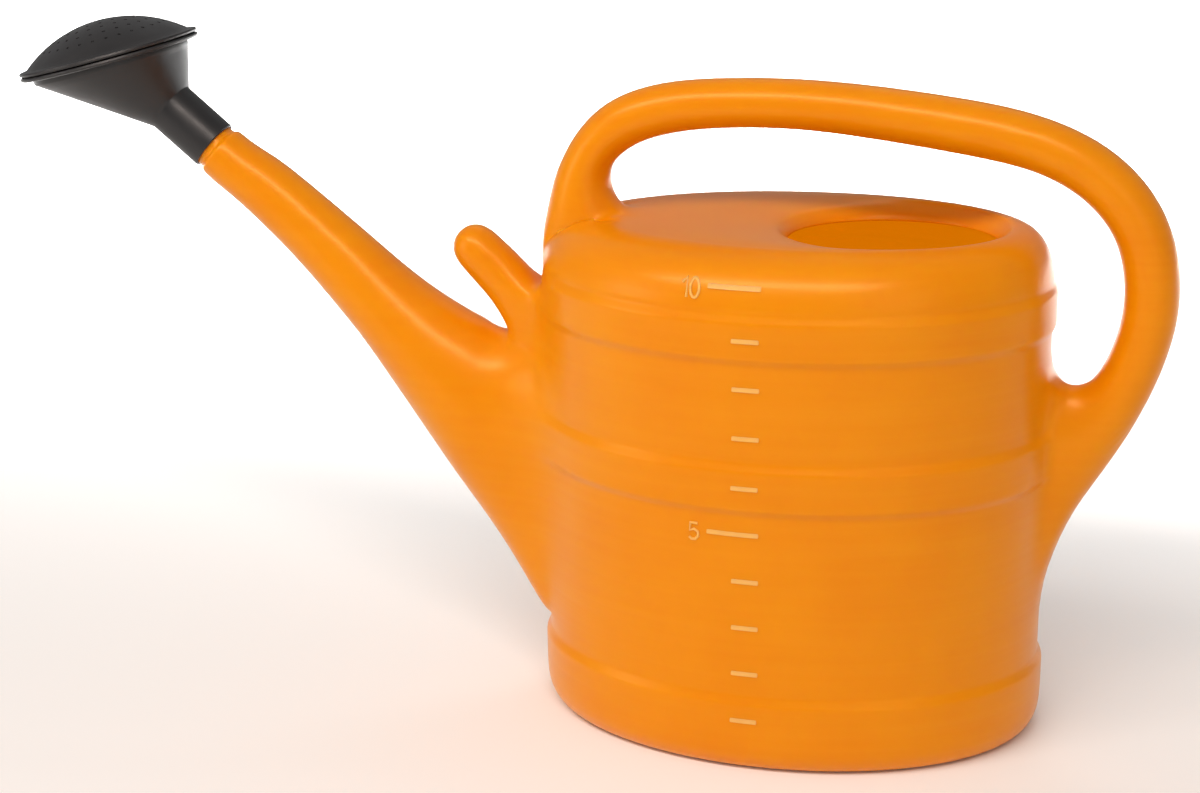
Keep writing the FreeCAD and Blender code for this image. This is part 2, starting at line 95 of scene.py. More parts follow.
# A long strip over the front gives the can its highlights, two softer lights fill it from the
# sides, and two more shine down on the floor behind it, which they keep nearly white.
CAN_MIDDLE = (-0.08, 0.0, 0.16)
add_light("key", (-0.3, -1.1, 1.5), CAN_MIDDLE, (2.0, 0.2), 24, "#fff0e6")
add_light("left", (-1.9, -1.2, 0.7), CAN_MIDDLE, (0.8, 0.8), 6, "#fff8f2")
add_light("fill", (1.3, -2.0, 0.8), CAN_MIDDLE, (1.2, 1.2), 3.5, "#fbfaff")
add_light("backdrop", (0.0, 3.2, 2.4), (0.0, 3.2, 0.0), (6.0, 3.0), 120, "#ffffff", spread=90)
add_light("floor_wash", (0.0, 1.6, 2.4), (0.0, 1.6, 0.0), (4.0, 1.0), 70, "#ffffff", spread=60)

STUDIO_GLOW = 0.335
studio = bpy.data.worlds.new("studio")
studio.use_nodes = True
studio_light = studio.node_tree.nodes["Background"]
studio_light.inputs["Color"].default_value = linear("#ffffff")
studio_light.inputs["Strength"].default_value = STUDIO_GLOW
bpy.context.scene.world = studio
bpy.context.scene.view_settings.view_transform = "Standard"

FLOOR_SIDE = 14
bpy.ops.mesh.primitive_plane_add(size=FLOOR_SIDE)
floor = bpy.context.object
floor.name = "floor"
# Studio floor paint, rolled matt white: it takes a soft shadow and gives no highlight.
floor_paint = bpy.data.materials.new("matt_white_floor")
floor_paint.use_nodes = True
floor_shader = floor_paint.node_tree.nodes["Principled BSDF"]
floor_shader.inputs["Base Color"].default_value = linear("#fdfdfc")
floor_shader.inputs["Roughness"].default_value = 0.9
floor.data.materials.append(floor_paint)


# The can: one blow moulding in orange polyethylene. The oval vessel, the spout, the peg for the
# rose and the handle are one skin, so they are drawn out of one mesh, with every joint a blend.
COLUMNS = 36                  # points round the oval
BODY_HALF = (134.8, 91.8)     # half length and half width of the plain wall, in millimetres

# height and growth of the oval's plain rings, from the middle of the base to the collar
PLAIN_RINGS = [(0, -40), (0, -9), (1.2, -4.4), (4.2, -1.2), (9, 1.1), (15, 2.5),
               (52, 0), (84, 0), (115, 0), (190, 0), (203, 0), (235, 2.1)]
# height of each band's edge, how far it steps out, and -1 where the step is back in
BAND_STEPS = [(41.5, 2.5, -1), (145.0, 2.3, 1), (169.0, 2.3, -1), (224.0, 2.1, 1),
              (246.3, 2.1, -1)]
# A band's edge is a soft step: it slopes this far to each side of its height, and the wall is
# upright again by the second distance.
STEP_HALF, STEP_HOLD = 1.9, 3.6


def wall_rings():
    """The plain rings and four rings to each band's edge, in order of height."""
    rings = list(PLAIN_RINGS)
    for height, out, way in BAND_STEPS:
        low, high = (0, out) if way > 0 else (out, 0)
        rings += [(height - STEP_HOLD, low), (height - STEP_HALF, low),
                  (height + STEP_HALF, high), (height + STEP_HOLD, high)]
    return sorted(rings)


# The shoulder is a quarter of an oval roll, which is shorter at the rear, where the mouth is.
SHOULDER_ANGLES = (8, 28, 48, 68, 88)
SHOULDER_FOOT = 249.0
SHOULDER_RISE = 26.5
SHOULDER_REACH = 30.0
SHOULDER_REACH_REAR = 17.0
# The deck's rings are at these distances from the shoulder, then at even shares of what is left.
DECK_STEPS = (6.5, 13.0, 20.0)
DECK_SHARES = (1 / 3, 2 / 3)
DECK_CROWN = 275.9

# centre, half length, half width and height of the rings of the mouth's rolled-in lip
MOUTH_RINGS = [(50.0, 61.0, 53.5, 274.0), (51.0, 58.4, 50.4, 271.9), (51.4, 55.8, 47.4, 269.0),
               (51.6, 54.8, 46.3, 266.0)]


def fair(count):
    """How much a ring of this many points has to grow, because subdividing draws it in."""
    return 3 / (2 + math.cos(2 * math.pi / count))


def oval_point(column, half_x, half_y, height, centre=0.0):
    """A point of a level oval. They are numbered from the rear, round by way of the far side."""
    turn = 2 * math.pi * column / COLUMNS
    grow = fair(COLUMNS)
    return Vector((centre + half_x * grow * math.cos(turn), half_y * grow * math.sin(turn), height))


def body_rings():
    """The rings of the vessel, each a list of points, from the base up and into the mouth."""
    rings = []
    for height, grow in wall_rings():
        half_x, half_y = BODY_HALF[0] + grow, BODY_HALF[1] + grow
        rings.append([oval_point(c, half_x, half_y, height) for c in range(COLUMNS)])
    for angle in SHOULDER_ANGLES:
        lift = math.radians(angle)
        ring = []
        for column in range(COLUMNS):
            rearward = (1 + math.cos(2 * math.pi * column / COLUMNS)) / 2
            reach = SHOULDER_REACH + (SHOULDER_REACH_REAR - SHOULDER_REACH) * rearward ** 2
            inward = reach * (1 - math.cos(lift))
            height = SHOULDER_FOOT + SHOULDER_RISE * math.sin(lift)
            ring.append(
                oval_point(column, BODY_HALF[0] - inward, BODY_HALF[1] - inward, height)
            )
        rings.append(ring)
    edge = rings[-1]
    centre, half_x, half_y, height = MOUTH_RINGS[0]
    crest = [oval_point(c, half_x, half_y, height, centre) for c in range(COLUMNS)]
    gaps = [(b - a).length for a, b in zip(edge, crest)]
    shares = []
    for number, step in enumerate(DECK_STEPS, start=1):
        shares.append([min(step / gap, number / (len(DECK_STEPS) + 1)) for gap in gaps])
    for rest in DECK_SHARES:
        shares.append([last + (1 - last) * rest for last in shares[len(DECK_STEPS) - 1]])
    for share in shares:
        ring = []
        for a, b, part in zip(edge, crest, share):
            point = a.lerp(b, part)
            point.z += (DECK_CROWN - point.z) * 4 * part * (1 - part)
            ring.append(point)
        rings.append(ring)
    rings.append(crest)
    for centre, half_x, half_y, height in MOUTH_RINGS[1:]:
        rings.append([oval_point(c, half_x, half_y, height, centre) for c in range(COLUMNS)])
    return rings


def deselect_all():
    if bpy.context.object and bpy.context.object.mode != "OBJECT":
        bpy.ops.object.mode_set(mode="OBJECT")
    bpy.ops.object.select_all(action="DESELECT")


def edit_mesh():
    return bmesh.from_edit_mesh(bpy.context.edit_object.data)


def show_edit():
    bmesh.update_edit_mesh(bpy.context.edit_object.data)


def select_edges(test):
    """Selects the edges that pass the test, and no others."""
    bpy.ops.mesh.select_mode(type="EDGE")
    bpy.ops.mesh.select_all(action="DESELECT")
    for edge in edit_mesh().edges:
        if test(edge):
            edge.select_set(True)
    show_edit()


def select_faces(test):
    """Selects the faces whose centre, in millimetres, passes the test, and no others."""
    bpy.ops.mesh.select_mode(type="FACE")
    bpy.ops.mesh.select_all(action="DESELECT")
    mesh = edit_mesh()
    for face in mesh.faces:
        if test(face.calc_center_median() / MM):
            face.select_set(True)
    mesh.select_flush(True)
    show_edit()


def open_rim(test, first_at):
    """Removes the faces that pass the test and numbers the hole's rim, from the point on the
    centre line that first_at ranks first, round towards +Y. Returns the points' turns."""
    select_faces(test)
    mesh = edit_mesh()
    order = mesh.verts.layers.int["order"]
    beside = {}
    for edge in mesh.edges:
        if sum(face.select for face in edge.link_faces) == 1:
            for vert in edge.verts:
                beside.setdefault(vert, []).append(edge.other_vert(vert))
    start = min(sorted(beside, key=lambda v: abs(v.co.y))[:2], key=first_at)
    rim = [start, max(beside[start], key=lambda v: v.co.y)]
    while len(rim) < len(beside):
        a, b = beside[rim[-1]]
        rim.append(b if a is rim[-2] else a)
    for vert in mesh.verts:
        vert[order] = 0
    for number, vert in enumerate(rim, start=1):
        vert[order] = number
    top, foot = rim[0].co.copy(), rim[len(rim) // 2].co.copy()
    width = max(abs(v.co.y) for v in rim)
    middle, half, along = (top + foot) / 2, (top - foot).length / 2, (top - foot).normalized()
    turns = []
    for vert in rim:
        turn = math.atan2(vert.co.y / width, (vert.co - middle).dot(along) / half)
        turns.append(turn % (2 * math.pi))
    show_edit()
    bpy.ops.mesh.delete(type="FACE")
    order = edit_mesh().verts.layers.int["order"]
    select_edges(lambda edge: edge.is_boundary and all(vert[order] for vert in edge.verts))
    return turns


def section_point(first, last, half_width, turn):
    """A point of an oval section that spans first to last in the mid-plane, in millimetres."""
    a, b = Vector((first[0], 0, first[1])), Vector((last[0], 0, last[1]))
    across = Vector((0, half_width, 0))
    return (a + b) / 2 + (a - b) / 2 * math.cos(turn) + across * math.sin(turn)


def draw_out(test, first_at, sections, settle=3):
    """Draws a branch out of the faces that pass the test, through oval sections. Each section is
    its first and last point in the mid-plane and its half width. The rim's points even out over
    the first few. The branch's end is left open and selected."""
    turns = open_rim(test, first_at)
    count = len(turns)
    grow = fair(count)
    for number, (first, last, half_width) in enumerate(sections, start=1):
        bpy.ops.mesh.extrude_edges_move()
        mesh = edit_mesh()
        order = mesh.verts.layers.int["order"]
        mix = min(1.0, number / settle)
        spread = Vector((first[0] - last[0], first[1] - last[1])) * (grow - 1) / 2
        wide_first = (first[0] + spread.x, first[1] + spread.y)
        wide_last = (last[0] - spread.x, last[1] - spread.y)
        for vert in mesh.verts:
            if vert.select:
                step = vert[order] - 1
                even = 2 * math.pi * step / count
                turn = turns[step] + (even - turns[step]) * mix
                vert.co = section_point(wide_first, wide_last, half_width * grow, turn) * MM
        show_edit()


def round_section(x, z, radius, rise):
    """A round section about a point of the mid-plane, square to a direction in degrees."""
    turn = math.radians(rise)
    side = Vector((math.sin(turn), math.cos(turn))) * radius
    return ((x + side.x, z + side.y), (x - side.x, z - side.y), radius)


def skin_rings(name, rings, fill):
    """A new piece whose skin runs from ring to ring. It is left in edit mode."""
    deselect_all()
    count = len(rings[0])
    bpy.ops.mesh.primitive_circle_add(vertices=count, radius=1, fill_type=fill)
    piece = bpy.context.object
    piece.name = name
    bpy.ops.object.mode_set(mode="EDIT")
    bpy.ops.mesh.select_mode(type="VERT")
    mesh = edit_mesh()
    mesh.verts.layers.int.new("column")
    mesh.verts.layers.int.new("order")
    column = mesh.verts.layers.int["column"]
    for vert in mesh.verts:
        turn = math.atan2(vert.co.y, vert.co.x)
        vert[column] = round(turn / (2 * math.pi) * count) % count
        vert.co = rings[0][vert[column]] * MM
    show_edit()
    bpy.ops.mesh.select_all(action="SELECT")
    bpy.ops.mesh.select_mode(type="EDGE")
    for ring in rings[1:]:
        bpy.ops.mesh.extrude_edges_move()
        mesh = edit_mesh()
        column = mesh.verts.layers.int["column"]
        for vert in (v for v in mesh.verts if v.select):
            vert.co = ring[vert[column]] * MM
        show_edit()
    return piece


can = skin_rings("can", body_rings(), fill="NGON")

# Spout and peg: one patch of the front wall comes out as their shared root, and then each is
# drawn out of its own part of it. The patch is narrower above the height where the peg begins.
ROOT_FOOT, PEG_FOOT, ROOT_TOP = 52, 190, 235
FRONT, REAR = -100, 100
SPOUT_HALF_WIDTH, PEG_HALF_WIDTH = 33, 17


def on_root_patch(p):
    half_width = SPOUT_HALF_WIDTH if p.z < PEG_FOOT else PEG_HALF_WIDTH
    return p.x < FRONT and abs(p.y) < half_width and ROOT_FOOT < p.z < ROOT_TOP


SPOUT_RISE = 40.5             # of the spout's straight end and neck, in degrees
# first and last point in the mid-plane and half width of each section, from the wall outwards
SPOUT_SECTIONS = [
    ((-162.5, 207.4), (-152.7, 70.8), 32.6),
    ((-167.0, 209.0), (-167.9, 93.8), 33.0),
    ((-172.0, 210.8), (-183.7, 116.6), 32.6),
    ((-177.0, 213.0), (-199.8, 140.0), 31.2),
    ((-182.5, 215.5), (-217, 165), 29.0),
    ((-195, 222.5), (-230, 183.5), 26.0),
    ((-209, 232), (-243, 201.5), 22.9),
    ((-222.5, 242.6), (-256, 216.5), 20.8),
    ((-236, 254.3), (-268.5, 231), 19.0),
    ((-252, 267.3), (-282.5, 246.2), 17.8),
    ((-270, 282), (-297, 260), 16.6),
    ((-288, 296), (-311.5, 273), 15.6),
    round_section(-312, 292.2, 15.1, SPOUT_RISE),
    round_section(-319.3, 298.2, 14.9, SPOUT_RISE),
    round_section(-321.2, 299.8, 14.6, SPOUT_RISE),
    round_section(-321.9, 300.4, 12.9, SPOUT_RISE),
    round_section(-323.0, 301.3, 12.7, SPOUT_RISE),
    round_section(-343.6, 318.9, 12.7, SPOUT_RISE),
    round_section(-344.1, 319.3, 12.5, SPOUT_RISE),
]
PEG_RISE = 45
PEG_RADIUS = 12.9
PEG_END = (-174.8, 252.0)
PEG_STEM = ((22, 14.4), (14, 13.7), (6, 13.1), (0, PEG_RADIUS))
PEG_CAP_ANGLES = (28, 54, 76)


def peg_section(back_along, radius):
    """A round section of the peg, so far back along it from where its round end begins."""
    rise = math.radians(PEG_RISE)
    x = PEG_END[0] + back_along * math.cos(rise)
    z = PEG_END[1] - back_along * math.sin(rise)
    return round_section(x, z, radius, PEG_RISE)


PEG_SECTIONS = [((-143.4, 239.6), (-161.2, 214.6), 15.4)]
for back_along, radius in PEG_STEM:
    PEG_SECTIONS.append(peg_section(back_along, radius))
for latitude in PEG_CAP_ANGLES:
    cap = math.radians(latitude)
    PEG_SECTIONS.append(peg_section(-PEG_RADIUS * math.sin(cap), PEG_RADIUS * math.cos(cap)))


def lie_between(value, table):
    """Reads a table of (value, x, z) rows between its rows."""
    for (low, x0, z0), (high, x1, z1) in zip(table, table[1:]):
        if value <= high:
            part = (value - low) / (high - low)
            return x0 + (x1 - x0) * part, z0 + (z1 - z0) * part
    return table[-1][1:]


# where the shared root stands out to, by the height on the wall that it came from
ROOT_PROFILE = [(52, -138.0, 49.5), (84, -147.0, 76.0), (115, -152.5, 110.0),
                (190, -157.5, 205.5), (203, -154.0, 214.5), (235, -138.8, 233.5)]
# The root's flanks stand back from its middle, and its two upper corners are lower.
SPOUT_EDGE, PEG_EDGE = 25, 10
SPOUT_RECESS, PEG_RECESS = 7.0, 4.0
CORNER_DROP = 11.0
SAME_PLACE = 0.01
select_faces(on_root_patch)
bpy.ops.mesh.extrude_region_move()
mesh = edit_mesh()
for vert in {v for face in mesh.faces if face.select for v in face.verts}:
    p = vert.co / MM
    x, z = lie_between(p.z, ROOT_PROFILE)
    if abs(p.y) > SPOUT_EDGE:
        x += SPOUT_RECESS
        z -= CORNER_DROP if p.z > PEG_FOOT - 1 else 0
    elif abs(p.y) > PEG_EDGE:
        x += PEG_RECESS
    vert.co = Vector((x, p.y, z)) * MM
front_centres = [face.calc_center_median() / MM for face in mesh.faces if face.select]
show_edit()


def on_root_front(p):
    """Whether a face's centre is that of one of the faces that stand out from the wall."""
    return any((p - centre).length < SAME_PLACE for centre in front_centres)


FORK_HEIGHT = 206             # between the spout's part of the root and the peg's
draw_out(lambda p: on_root_front(p) and p.z < FORK_HEIGHT, lambda v: -v.co.z, SPOUT_SECTIONS)
draw_out(lambda p: on_root_front(p) and p.z > FORK_HEIGHT, lambda v: -v.co.z, PEG_SECTIONS)
bpy.ops.mesh.edge_face_add()

# Handle: drawn up out of the shoulder, over and down, then joined to the heel at the rear wall.
HANDLE_HALF_WIDTH = 17
HANDLE_FOOT, HANDLE_FOOT_TOP = 250, 280
HANDLE_FRONT, HANDLE_BACK = -140, -86
HEEL_FOOT, HEEL_TOP = 89, 203
HANDLE_SECTIONS = [
    ((-137.6, 258), (-90.5, 277.2), 19.0),
    ((-135.4, 269), (-95.2, 281), 18.2),
    ((-132.6, 280), (-98.2, 287), 17.3),
    ((-130, 291), (-99.2, 293.5), 16.3),
    ((-125.9, 302), (-98.2, 300), 15.3),
    ((-117.5, 317.5), (-94.2, 305.3), 14.4),
    ((-105, 331), (-87, 310.8), 14.0),
    ((-89, 340.2), (-77, 315.8), 13.8),
    ((-66, 346.4), (-59, 320.4), 13.5),
    ((-36, 348.8), (-33, 323.1), 13.2),
    ((2, 349.4), (2, 323.7), 13.2),
    ((40, 346.9), (38, 320.0), 13.5),
    ((78, 342.7), (74, 315.1), 13.9),
    ((110, 338.0), (104, 310.4), 14.1),
    ((134, 331.2), (122.5, 306), 14.2),
    ((153, 322.5), (137.5, 299.3), 14.3),
    ((168, 311.7), (149.5, 291), 14.3),
    ((180.5, 298.7), (158.8, 281), 14.3),
    ((190, 282.8), (165.3, 270), 14.3),
    ((195.8, 265.5), (168.9, 256), 14.3),
    ((197.8, 247), (170.1, 243), 14.3),
    ((197.1, 230), (169.1, 230.5), 14.3),
    ((193.1, 211.5), (166.4, 219), 14.4),
    ((187, 193.2), (162.6, 207.8), 14.7),
    ((178.7, 174.5), (157.2, 198.2), 15.2),
]
HEEL_SECTIONS = [
    ((147.6, 118.7), (140.5, 197.2), 16.3),
    ((158, 137.5), (146.5, 194.0), 16.2),
    ((169, 156.5), (152.3, 194.6), 15.8),
]
draw_out(lambda p: REAR < p.x and abs(p.y) < HANDLE_HALF_WIDTH and HEEL_FOOT < p.z < HEEL_TOP,
         lambda v: v.co.z, HEEL_SECTIONS)
draw_out(lambda p: HANDLE_FRONT < p.x < HANDLE_BACK and abs(p.y) < HANDLE_HALF_WIDTH
         and HANDLE_FOOT < p.z < HANDLE_FOOT_TOP, lambda v: v.co.x, HANDLE_SECTIONS)

# the flanks of the spout's and the peg's root are eased, so that they flow out of the wall
EASE_X, EASE_Y, EASE_Z = (-172, -118), (6, 42), (60, 246)
EASE_FACTOR, EASE_TURNS = 0.5, 4
bpy.ops.mesh.select_mode(type="VERT")
bpy.ops.mesh.select_all(action="DESELECT")
mesh = edit_mesh()
for vert in mesh.verts:
    p = vert.co / MM
    if (EASE_X[0] < p.x < EASE_X[1] and EASE_Z[0] < p.z < EASE_Z[1]
            and EASE_Y[0] < abs(p.y) < EASE_Y[1]):
        vert.select_set(True)
mesh.select_flush_mode()
show_edit()
bpy.ops.mesh.vertices_smooth(factor=EASE_FACTOR, repeat=EASE_TURNS)

# a bridge joins the handle's lower end and the heel's end, the two open rims at the rear
RIMS_BEHIND, RIMS_BELOW = 148, 210


def on_handle_joint(edge):
    middle = (edge.verts[0].co + edge.verts[1].co) / 2 / MM
    return edge.is_boundary and middle.x > RIMS_BEHIND and middle.z < RIMS_BELOW


select_edges(on_handle_joint)
bpy.ops.mesh.bridge_edge_loops()
bpy.ops.mesh.select_all(action="SELECT")
bpy.ops.mesh.normals_make_consistent(inside=False)
bpy.ops.object.mode_set(mode="OBJECT")


def finish_modifier(piece, kind, **settings):
    """Adds a modifier with its settings and applies it."""
    modifier = piece.modifiers.new(kind.lower(), kind)
    for name, value in settings.items():
        setattr(modifier, name, value)
    bpy.context.view_layer.objects.active = piece
    bpy.ops.object.modifier_apply(modifier=modifier.name)


SMOOTH_LEVELS = 2
CAN_WALL = 2.0
finish_modifier(can, "SUBSURF", levels=SMOOTH_LEVELS, render_levels=SMOOTH_LEVELS)
can.data.materials.append(None)     # the outside's place
can.data.materials.append(None)     # the inside's, which the wall's inner skin takes
finish_modifier(can, "SOLIDIFY", thickness=CAN_WALL * MM, offset=-1, material_offset=1)
bpy.ops.object.shade_smooth()


def add_node(tree, kind, inputs, **settings):
    """Adds a node. Each input is given a value, or another node's output to read."""
    node = tree.nodes.new(kind)
    for name, value in settings.items():
        setattr(node, name, value)
    for name, value in inputs.items():
        if isinstance(value, bpy.types.NodeSocket):
            tree.links.new(value, node.inputs[name])
        else:
            node.inputs[name].default_value = value
    return node


# The Mix node has several inputs of one name, so its colour ones go by number.
FACTOR, COLOUR_A, COLOUR_B, MIXED = 0, 6, 7, 2

# Blow-moulded high-density polyethylene, coloured right through: a waxy satin skin. It gives
# broad soft highlights, faint level flow lines a few millimetres apart, and a slight grain.
# Light that scatters in the waxy skin gives its sheen a warm tint. Sizes are in millimetres.
FLOW_LINE_SPACING, FLOW_LINE_LENGTH = 5.0, 120.0
CLOUD_SIZE = 60.0
GRAIN_SIZE = 0.9
LIGHT_DEPTH = 6.0
can_skin = bpy.data.materials.new("satin_polyethylene_orange")
can_skin.use_nodes = True
tree = can_skin.node_tree
shader = tree.nodes["Principled BSDF"]
shader.inputs["Roughness"].default_value = 0.3
shader.inputs["IOR"].default_value = 1.52
shader.inputs["Specular IOR Level"].default_value = 0.55
shader.inputs["Specular Tint"].default_value = linear("#ffc88a")
shader.inputs["Subsurface Weight"].default_value = 0.5
shader.inputs["Subsurface Radius"].default_value = (1.0, 0.75, 0.12)
shader.inputs["Subsurface Scale"].default_value = LIGHT_DEPTH * MM
place = add_node(tree, "ShaderNodeTexCoord", {}).outputs["Object"]
flow_place = add_node(tree, "ShaderNodeMapping", {
    "Vector": place,
    "Scale": [1 / (size * MM) for size in (FLOW_LINE_LENGTH, FLOW_LINE_LENGTH, FLOW_LINE_SPACING)],
}).outputs["Vector"]
flow = add_node(tree, "ShaderNodeTexNoise", {"Vector": flow_place, "Scale": 1.0, "Detail": 2.0})
cloud = add_node(tree, "ShaderNodeTexNoise", {"Vector": place, "Scale": 1 / (CLOUD_SIZE * MM)})
grain = add_node(tree, "ShaderNodeTexNoise", {"Vector": place, "Scale": 1 / (GRAIN_SIZE * MM)})
mottle = add_node(tree, "ShaderNodeMapRange", {
    "Value": cloud.outputs["Fac"], "From Min": 0.3, "From Max": 0.7,
}).outputs["Result"]
tint = add_node(tree, "ShaderNodeMix", {
    FACTOR: mottle, COLOUR_A: linear("#e28700"), COLOUR_B: linear("#e68f00"),
}, data_type="RGBA")
streaked = add_node(tree, "ShaderNodeMapRange", {
    "Value": flow.outputs["Fac"], "From Min": 0.35, "From Max": 0.75, "To Max": 0.22,
}).outputs["Result"]
colour = add_node(tree, "ShaderNodeMix", {
    FACTOR: streaked, COLOUR_A: tint.outputs[MIXED], COLOUR_B: linear("#eb9a14"),
}, data_type="RGBA")
tree.links.new(colour.outputs[MIXED], shader.inputs["Base Color"])
flow_relief = add_node(tree, "ShaderNodeBump", {
    "Height": flow.outputs["Fac"], "Strength": 0.25, "Distance": 0.6 * MM,
})
relief = add_node(tree, "ShaderNodeBump", {
    "Height": grain.outputs["Fac"], "Strength": 0.12, "Distance": 0.12 * MM,
    "Normal": flow_relief.outputs["Normal"],
})
tree.links.new(relief.outputs["Normal"], shader.inputs["Normal"])

# The same wall seen from inside, in painted light: a base colour of its own and a glow in the
# plastic's own colour stand in for the daylight that comes through the thin wall.
inner_skin = can_skin.copy()
inner_skin.name = "polyethylene_inside_painted_glow"
inner_shader = inner_skin.node_tree.nodes["Principled BSDF"]
inner_skin.node_tree.links.remove(inner_shader.inputs["Base Color"].links[0])
inner_shader.inputs["Base Color"].default_value = linear("#b87010")
# painted glow: the inside gives off light of its own, though it is no lamp
inner_shader.inputs["Emission Color"].default_value = linear("#a26a00")
inner_shader.inputs["Emission Strength"].default_value = 0.9
can.data.materials[0] = can_skin
can.data.materials[1] = inner_skin
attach(can, "can")
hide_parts("vessel", "spout", "handle", "rose_peg")


# Litre scale: ten raised ticks and two numbers, moulded proud of the front wall in the can's own
# plastic. The fifth and the tenth tick are longer and carry their number to their left.
MARKS = 10
LONG_EVERY = 5
MARK_FIRST, MARK_PITCH = 30.7, 25.6
MARK_RIGHT = -1.0
MARK_SHORT, MARK_LONG = 14.0, 27.0
MARK_HEIGHT = 2.2
MARK_EDGE = 0.5
MARK_SLICES = 6
MARK_PROUD = 0.85
MARK_CREASE_ANGLE = 35
# A mark is first made this thick, about an upright plane in front of the can, in metres.
PLANE, THICK = -0.1, 0.002
IN_FRONT = -0.2


def onto_wall(piece):
    """Lays a mark onto the can's front wall, its middle on the wall and its face proud of it."""
    for vert in piece.data.vertices:
        start = Vector((vert.co.x, IN_FRONT, vert.co.z))
        wall = can.ray_cast(start, Vector((0, 1, 0)))[1]
        vert.co.y = wall.y + (vert.co.y - PLANE) / THICK * MARK_PROUD * MM


def join_pieces(pieces):
    """Joins the pieces into the first and returns it, selected alone."""
    deselect_all()
    for piece in pieces:
        piece.select_set(True)
    bpy.context.view_layer.objects.active = pieces[0]
    bpy.ops.object.join()
    return bpy.context.object


marks = []
for number in range(1, MARKS + 1):
    length = MARK_LONG if number % LONG_EVERY == 0 else MARK_SHORT
    height = MARK_FIRST + MARK_PITCH * (number - 1)
    deselect_all()
    bpy.ops.mesh.primitive_cube_add(
        size=1, location=((MARK_RIGHT - length / 2) * MM, PLANE, height * MM),
        scale=(length * MM, 2 * THICK, MARK_HEIGHT * MM),
    )
    bpy.ops.object.transform_apply(location=True, rotation=True, scale=True)
    tick = bpy.context.object
    finish_modifier(tick, "BEVEL", width=MARK_EDGE * MM, segments=3, limit_method="ANGLE")
    bpy.ops.object.mode_set(mode="EDIT")
    for step in range(1, MARK_SLICES):
        bpy.ops.mesh.select_all(action="SELECT")
        cut_x = (MARK_RIGHT - length + length * step / MARK_SLICES) * MM
        bpy.ops.mesh.bisect(plane_co=(cut_x, 0, 0), plane_no=(1, 0, 0))
    bpy.ops.object.mode_set(mode="OBJECT")
    # a tick stands proud at its foot and slopes back into the wall at its top
    foot = (height - MARK_HEIGHT / 2) * MM
    for vert in tick.data.vertices:
        share = (vert.co.z - foot) / (MARK_HEIGHT * MM)
        if vert.co.y < PLANE:
            vert.co.y = PLANE + (vert.co.y - PLANE) * (1 - share)
    onto_wall(tick)
    marks.append(tick)

# each digit's strokes, as a line of points on a grid that is one unit high
ONE = [(0.02, 0.74), (0.3, 1.0), (0.3, 0.0)]
NOUGHT = [(0.28 - 0.26 * math.cos(k * math.pi / 8), 0.5 + 0.5 * math.sin(k * math.pi / 8))
          for k in range(17)]
FIVE = [(0.5, 1.0), (0.08, 1.0), (0.04, 0.54), (0.3, 0.64), (0.52, 0.5), (0.55, 0.26),
        (0.36, 0.03), (0.14, 0.02), (0.0, 0.14)]
DIGIT_HEIGHT = 9.0
STROKE_HALF = 0.75
# each digit's strokes, left edge and foot
DIGITS = [(ONE, -41.5, 255.0), (NOUGHT, -37.2, 255.0), (FIVE, -37.4, 127.6)]
for strokes, left, foot in DIGITS:
    deselect_all()
    line = bpy.data.curves.new("digit", "CURVE")
    line.dimensions = "3D"
    line.bevel_depth = STROKE_HALF * MM
    line.bevel_resolution = 2
    line.use_fill_caps = True
    spline = line.splines.new("POLY")
    spline.points.add(len(strokes) - 1)
    for point, (x, z) in zip(spline.points, strokes):
        point.co = ((left + x * DIGIT_HEIGHT) * MM, PLANE, (foot + z * DIGIT_HEIGHT) * MM, 1)
    digit = bpy.data.objects.new("digit", line)
    bpy.context.scene.collection.objects.link(digit)
    digit.select_set(True)
    bpy.context.view_layer.objects.active = digit
    bpy.ops.object.convert(target="MESH")
    digit = bpy.context.object
    for vert in digit.data.vertices:
        vert.co.y = PLANE + (vert.co.y - PLANE) * THICK / (STROKE_HALF * MM)
    onto_wall(digit)
    marks.append(digit)
litre_scale = join_pieces(marks)
litre_scale.name = "litre_scale"
bpy.ops.object.shade_smooth_by_angle(angle=math.radians(MARK_CREASE_ANGLE))

# The same blow-moulded polyethylene, painted paler where it stands proud than the wall round it:
# a painted highlight for the light that the raised marks catch, with the same satin skin and flow
# lines.
scale_skin = can_skin.copy()
scale_skin.name = "polyethylene_orange_painted_highlight"
scale_nodes = scale_skin.node_tree.nodes
# the paler orange of the marks is a painted highlight
scale_nodes[tint.name].inputs[COLOUR_A].default_value = linear("#f4b05a")
scale_nodes[tint.name].inputs[COLOUR_B].default_value = linear("#f6b868")
scale_nodes[colour.name].inputs[COLOUR_B].default_value = linear("#f8c27c")
litre_scale.data.materials.clear()
litre_scale.data.materials.append(scale_skin)
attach(litre_scale, "can")
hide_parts("litre_marks")


# Rose head: the funnel and its socket are one moulding in black polypropylene. The socket pushes
# over the spout's end, and the funnel's flanged mouth takes the plate.
SPOUT_TIP = Vector((-321.8, 0, 300.2))     # where the neck begins, in millimetres
RIM_REACH = 82.4                           # from there to the rim's middle, along the neck
PLATE_RISE = 76.0                          # of the plate's axis, in degrees
ROSE_SIDES = 64


def slanted(degrees):
    """A direction in the mid-plane that rises to the front, and the one square to it."""
    rise = math.radians(degrees)
    return Vector((-math.cos(rise), 0, math.sin(rise))), Vector((math.sin(rise), 0, math.cos(rise)))


def slanted_ring(centre, rise, along, radius):
    """A circle of points about a slanted axis, so far along it from the centre."""
    ahead, side = slanted(rise)
    middle = centre + ahead * along
    turns = [2 * math.pi * k / ROSE_SIDES for k in range(ROSE_SIDES)]
    return [middle + side * radius * math.cos(t) + Vector((0, radius * math.sin(t), 0))
            for t in turns]


RIM_CENTRE = SPOUT_TIP + slanted(SPOUT_RISE)[0] * RIM_REACH
